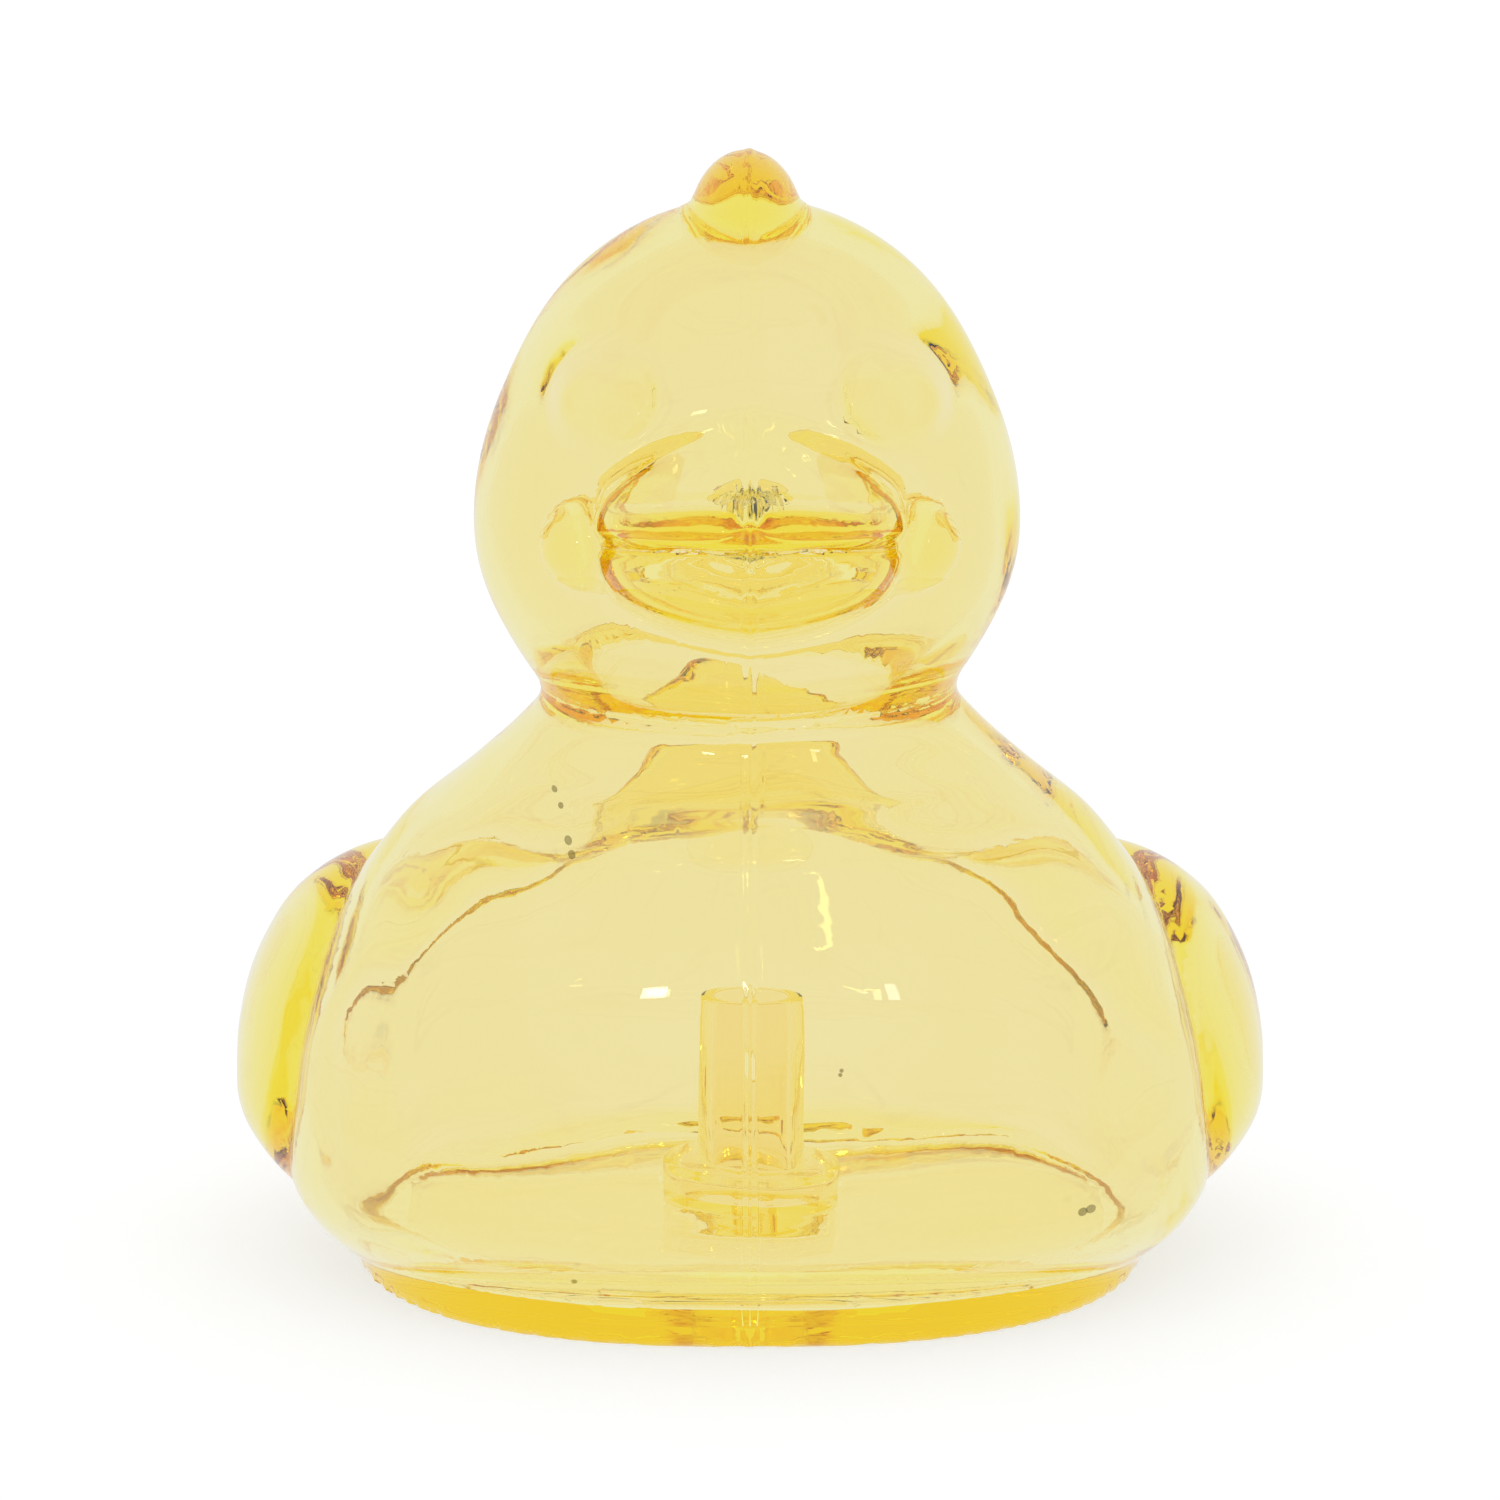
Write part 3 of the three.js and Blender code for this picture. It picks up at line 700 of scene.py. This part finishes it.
# Specks of dirt on the outside: across, up and radius, as seen from the front.
SPECKS = (
    (-13.76, 39.15, 0.2), (-12.94, 36.36, 0.27), (6.54, 21.9, 0.15), (24.26, 9.4, 0.35),
    (-12.8, 4.75, 0.22),
)
# They show on the skin in front of this place along Y, in metres.
SPECK_FRONT = -0.004
SPECK_COLOUR = (0.2, 0.17, 0.08, 1)


def math_node(nodes, links, operation, first, second):
    """The result of a sum on a socket and a socket or a number."""
    node = nodes.new("ShaderNodeMath")
    node.operation = operation
    links.new(first, node.inputs[0])
    if isinstance(second, float):
        node.inputs[1].default_value = second
    else:
        links.new(second, node.inputs[1])
    return node.outputs["Value"]


def speck_share(nodes, links):
    """A node socket that is 1 inside the specks on the front and 0 elsewhere."""
    place = nodes.new("ShaderNodeTexCoord")
    apart = nodes.new("ShaderNodeSeparateXYZ")
    links.new(place.outputs["Object"], apart.inputs["Vector"])
    flat = nodes.new("ShaderNodeCombineXYZ")
    links.new(apart.outputs["X"], flat.inputs["X"])
    links.new(apart.outputs["Z"], flat.inputs["Z"])
    total = None
    for across, up, radius in SPECKS:
        far = nodes.new("ShaderNodeVectorMath")
        far.operation = "DISTANCE"
        far.inputs[1].default_value = (across * MM, 0, up * MM)
        links.new(flat.outputs["Vector"], far.inputs[0])
        near = math_node(nodes, links, "LESS_THAN", far.outputs["Value"], radius * MM)
        total = near if total is None else math_node(nodes, links, "MAXIMUM", total, near)
    front = math_node(nodes, links, "LESS_THAN", apart.outputs["Y"], SPECK_FRONT)
    return math_node(nodes, links, "MULTIPLY", total, front)


# The part of the yellow that is taken at each surface.
TINT = (1, 0.949, 0.83, 1)
# How far each plastic bends light, and the density and colour of the rest of its yellow.
VINYL_BEND = 1.5
VINYL_ABSORB = (130.0, (1.0, 0.955, 0.0))
PLASTIC_BEND = 1.2
PLASTIC_ABSORB = (60.0, (1.0, 0.95, 0.0))


def clear_plastic(name, bend, absorb, specks):
    """Clear yellow plastic: it darkens with the depth of plastic that light goes through."""
    material, nodes, links, shader, out = new_material(name)
    shader.inputs["Roughness"].default_value = 0
    shader.inputs["Transmission Weight"].default_value = 1
    shader.inputs["IOR"].default_value = bend
    shader.inputs["Base Color"].default_value = TINT
    if specks:
        dirt = nodes.new("ShaderNodeMix")
        dirt.data_type = "RGBA"
        links.new(speck_share(nodes, links), dirt.inputs[0])
        dirt.inputs[6].default_value = TINT
        dirt.inputs[7].default_value = SPECK_COLOUR
        links.new(dirt.outputs[2], shader.inputs["Base Color"])
    inside = nodes.new("ShaderNodeVolumeAbsorption")
    density, shade = absorb
    inside.inputs["Density"].default_value = density
    inside.inputs["Color"].default_value = (*shade, 1)
    links.new(inside.outputs["Volume"], out.inputs["Volume"])
    return material


vinyl = clear_plastic("clear_yellow_vinyl", VINYL_BEND, VINYL_ABSORB, True)
plastic = clear_plastic("clear_yellow_plastic", PLASTIC_BEND, PLASTIC_ABSORB, False)

# The grid that the vinyl's field is read on: its spacing, its reach and its finer zones, which
# are the parting line, the mouth and the base.
FULL_PITCH = 0.88
REACH_X = 39
REACH_Y = 45
REACH_Z = (-1.2, 87)
PARTING_ZONE = (-0.9, 0.9, 0.3)
MOUTH_ZONE = (58.4, 62.8, 0.35)
BASE_ZONE = (0, 6, 0.5)
RELAX_ROUNDS = 2
SETTLE_ROUNDS = 3
DETAIL_CUTS = 1

pitch = FULL_PITCH
xs = grid_lines(-REACH_X, REACH_X, pitch, [PARTING_ZONE])
ys = grid_lines(-REACH_Y, REACH_Y, pitch, [])
zs = grid_lines(*REACH_Z, pitch, [MOUTH_ZONE, BASE_ZONE])
points, quads = surface_net(solid_field, xs, ys, zs)
points = relax(points, quads, RELAX_ROUNDS)
points = settle(solid_field, points, SETTLE_ROUNDS)

# Where the mesh is cut finer: how near the skin, how far round an eye, how far from the mouth
# line, how high a mark stands, and in front of which places along Y.
SKIN_NEAR = 0.6
EYE_ZONE = (0.5, 1.2)
MOUTH_NEAR = 1.2
MARK_LEAST = 0.005
EYES_FRONT = -16
MOUTH_FRONT = -27


def needs_detail(x, y, z):
    """Where the outside has its finest relief: the eyes' rims, the mouth line and the marks."""
    near_skin = np.abs(outer_field(x, y, z)) < SKIN_NEAR
    share = eye_share(x, z)[2]
    eye = (share > EYE_ZONE[0]) & (share < EYE_ZONE[1]) & (y < EYES_FRONT)
    mouth_z = MOUTH_HEIGHT - BILL_TURN_UP * (y - BILL_HINGE_Y)
    mouth = (np.abs(z - mouth_z) < MOUTH_NEAR) & (y < MOUTH_FRONT)
    mark = (mark_lift(x, y, z) > MARK_LEAST) & (y < EYES_FRONT)
    return near_skin & (eye | mouth | mark)


points, quads = refine(points, quads, needs_detail, DETAIL_CUTS)
points = settle(solid_field, points, SETTLE_ROUNDS)
points[:, 1] += axis_y
points = np.clip(points, np.array(cad_low) / MM, np.array(cad_high) / MM)
duck = mesh_object("duck_shell", points, quads, vinyl)
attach(duck, "root")
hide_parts("duck_body")


def turned(name, section, sides, material):
    """A turned piece from a closed half section of radius and height pairs."""
    turn = np.arange(sides) * 2 * math.pi / sides
    radius, height = np.array(section).T
    points = np.stack([
        np.outer(radius, np.cos(turn)).ravel(),
        np.outer(radius, np.sin(turn)).ravel() + axis_y,
        np.repeat(height, sides),
    ], axis=1)
    rows = len(section)
    faces = [(r * sides + i, r * sides + (i + 1) % sides,
              (r + 1) % rows * sides + (i + 1) % sides, (r + 1) % rows * sides + i)
             for r in range(rows) for i in range(sides)]
    return mesh_object(name, points, np.array(faces), material)


# A corner takes up at most this share of each of its two sides.
EASE_MOST = 0.45


def eased(corners, ease, arc=4):
    """A closed section with each corner rounded by up to ease."""
    out = []
    count = len(corners)
    for i in range(count):
        before, here, after = (np.array(corners[(i + k) % count], float) for k in (-1, 0, 1))
        back, on = before - here, after - here
        size = min(ease, EASE_MOST * np.linalg.norm(back), EASE_MOST * np.linalg.norm(on))
        start = here + back / np.linalg.norm(back) * size
        end = here + on / np.linalg.norm(on) * size
        for t in np.linspace(0, 1, arc):
            out.append(tuple((1 - t) ** 2 * start + 2 * t * (1 - t) * here + t * t * end))
    return out


# The squeaker: a plug in the base hole, a drum behind the floor and a tube above it.
SQUEAKER_EASE = 0.3
SQUEAKER_SIDES = 96
squeaker_section = [
    (1.5, 0.3), (4.9, 0.3), (4.9, 2.7), (6.5, 2.7), (6.5, 7.3), (3.9, 7.3), (3.6, 19.2),
    (2.5, 19.2), (2.8, 6.2), (5.4, 6.2), (5.4, 3.8), (1.5, 3.8),
]
squeaker_outline = eased(squeaker_section, SQUEAKER_EASE)
squeaker = turned("squeaker_body", squeaker_outline, SQUEAKER_SIDES, plastic)
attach(squeaker, "root")
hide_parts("squeaker")

# How bright the pale surround looks through and in the clear plastic, where 1 is white.
SURROUND = 0.86
# The table as the camera sees it: its own grey, and the light that makes it pale.
TABLE_GREY = (0.5, 0.5, 0.5, 1)
TABLE_LIFT = 0.62
TABLE_ROUGHNESS = 0.9
TABLE_SHINE = 0.1
TABLE_REACH = 3.0
WHITE = (1, 1, 1, 1)

# The table that the duck stands on, pale all round.
floor_mesh = bpy.data.meshes.new("table_top")
corners = [(i * TABLE_REACH, j * TABLE_REACH, 0) for i, j in ((-1, -1), (1, -1), (1, 1), (-1, 1))]
floor_mesh.from_pydata(corners, [], [(0, 1, 2, 3)])
floor = bpy.data.objects.new("table_top", floor_mesh)
bpy.context.scene.collection.objects.link(floor)
material, nodes, links, shader, out = new_material("pale_table")
shader.inputs["Base Color"].default_value = TABLE_GREY
shader.inputs["Roughness"].default_value = TABLE_ROUGHNESS
shader.inputs["Specular IOR Level"].default_value = TABLE_SHINE
shader.inputs["Emission Color"].default_value = WHITE
shader.inputs["Emission Strength"].default_value = TABLE_LIFT
path = nodes.new("ShaderNodeLightPath")
pale = nodes.new("ShaderNodeEmission")
pale.inputs["Strength"].default_value = SURROUND
mixed = nodes.new("ShaderNodeMixShader")
links.new(path.outputs["Is Camera Ray"], mixed.inputs["Fac"])
links.new(pale.outputs["Emission"], mixed.inputs[1])
links.new(shader.outputs["BSDF"], mixed.inputs[2])
links.new(mixed.outputs["Shader"], out.inputs["Surface"])
floor_mesh.materials.append(material)

# Plain studio light: a pale surround, and two small soft boxes above and in front.
world = bpy.data.worlds.new("studio")
bpy.context.scene.world = world
world.use_nodes = True
sky = world.node_tree.nodes["Background"]
sky.inputs["Color"].default_value = WHITE
sky.inputs["Strength"].default_value = SURROUND


# Where the soft boxes point.
BOX_AIM = (0, 0, 0.04)


def soft_box(name, place, size, watts):
    """A small rectangular lamp that points at the duck."""
    lamp = bpy.data.lights.new(name, "AREA")
    lamp.shape = "RECTANGLE"
    lamp.size, lamp.size_y = size
    lamp.energy = watts
    obj = bpy.data.objects.new(name, lamp)
    obj.location = place
    obj.rotation_mode = "QUATERNION"
    obj.rotation_quaternion = (Vector(BOX_AIM) - Vector(place)).to_track_quat("-Z", "Y")
    bpy.context.scene.collection.objects.link(obj)


soft_box("box_left", (-0.32, -0.85, 0.34), (0.1, 0.05), 0.16)
soft_box("box_right", (0.5, -0.75, 0.36), (0.05, 0.07), 0.06)

# The camera: in front of the duck, above level by the photograph's angle, and far off.
CAMERA_ELEVATION = math.radians(13.0)
CAMERA_DISTANCE = 1.8
CAMERA_AIM_HEIGHT = 0.0376
SENSOR_WIDTH = 36.0
FOCAL_LENGTH = 585.9
CLIP_END = 20.0
camera_data = bpy.data.cameras.new("camera")
camera_data.sensor_width = SENSOR_WIDTH
camera_data.lens = FOCAL_LENGTH
camera_data.clip_end = CLIP_END
camera = bpy.data.objects.new("camera", camera_data)
camera.location = (0.0, axis_y * MM - CAMERA_DISTANCE * math.cos(CAMERA_ELEVATION),
                   CAMERA_AIM_HEIGHT + CAMERA_DISTANCE * math.sin(CAMERA_ELEVATION))
camera.rotation_euler = (math.pi / 2 - CAMERA_ELEVATION, 0, 0)
bpy.context.scene.collection.objects.link(camera)
bpy.context.scene.camera = camera
bpy.context.scene.view_settings.view_transform = "Standard"

# Light goes round inside clear walls many times before it comes out.
LIGHT_BOUNCES = 40
bpy.context.scene.cycles.max_bounces = LIGHT_BOUNCES
bpy.context.scene.cycles.glossy_bounces = LIGHT_BOUNCES
bpy.context.scene.cycles.transmission_bounces = LIGHT_BOUNCES
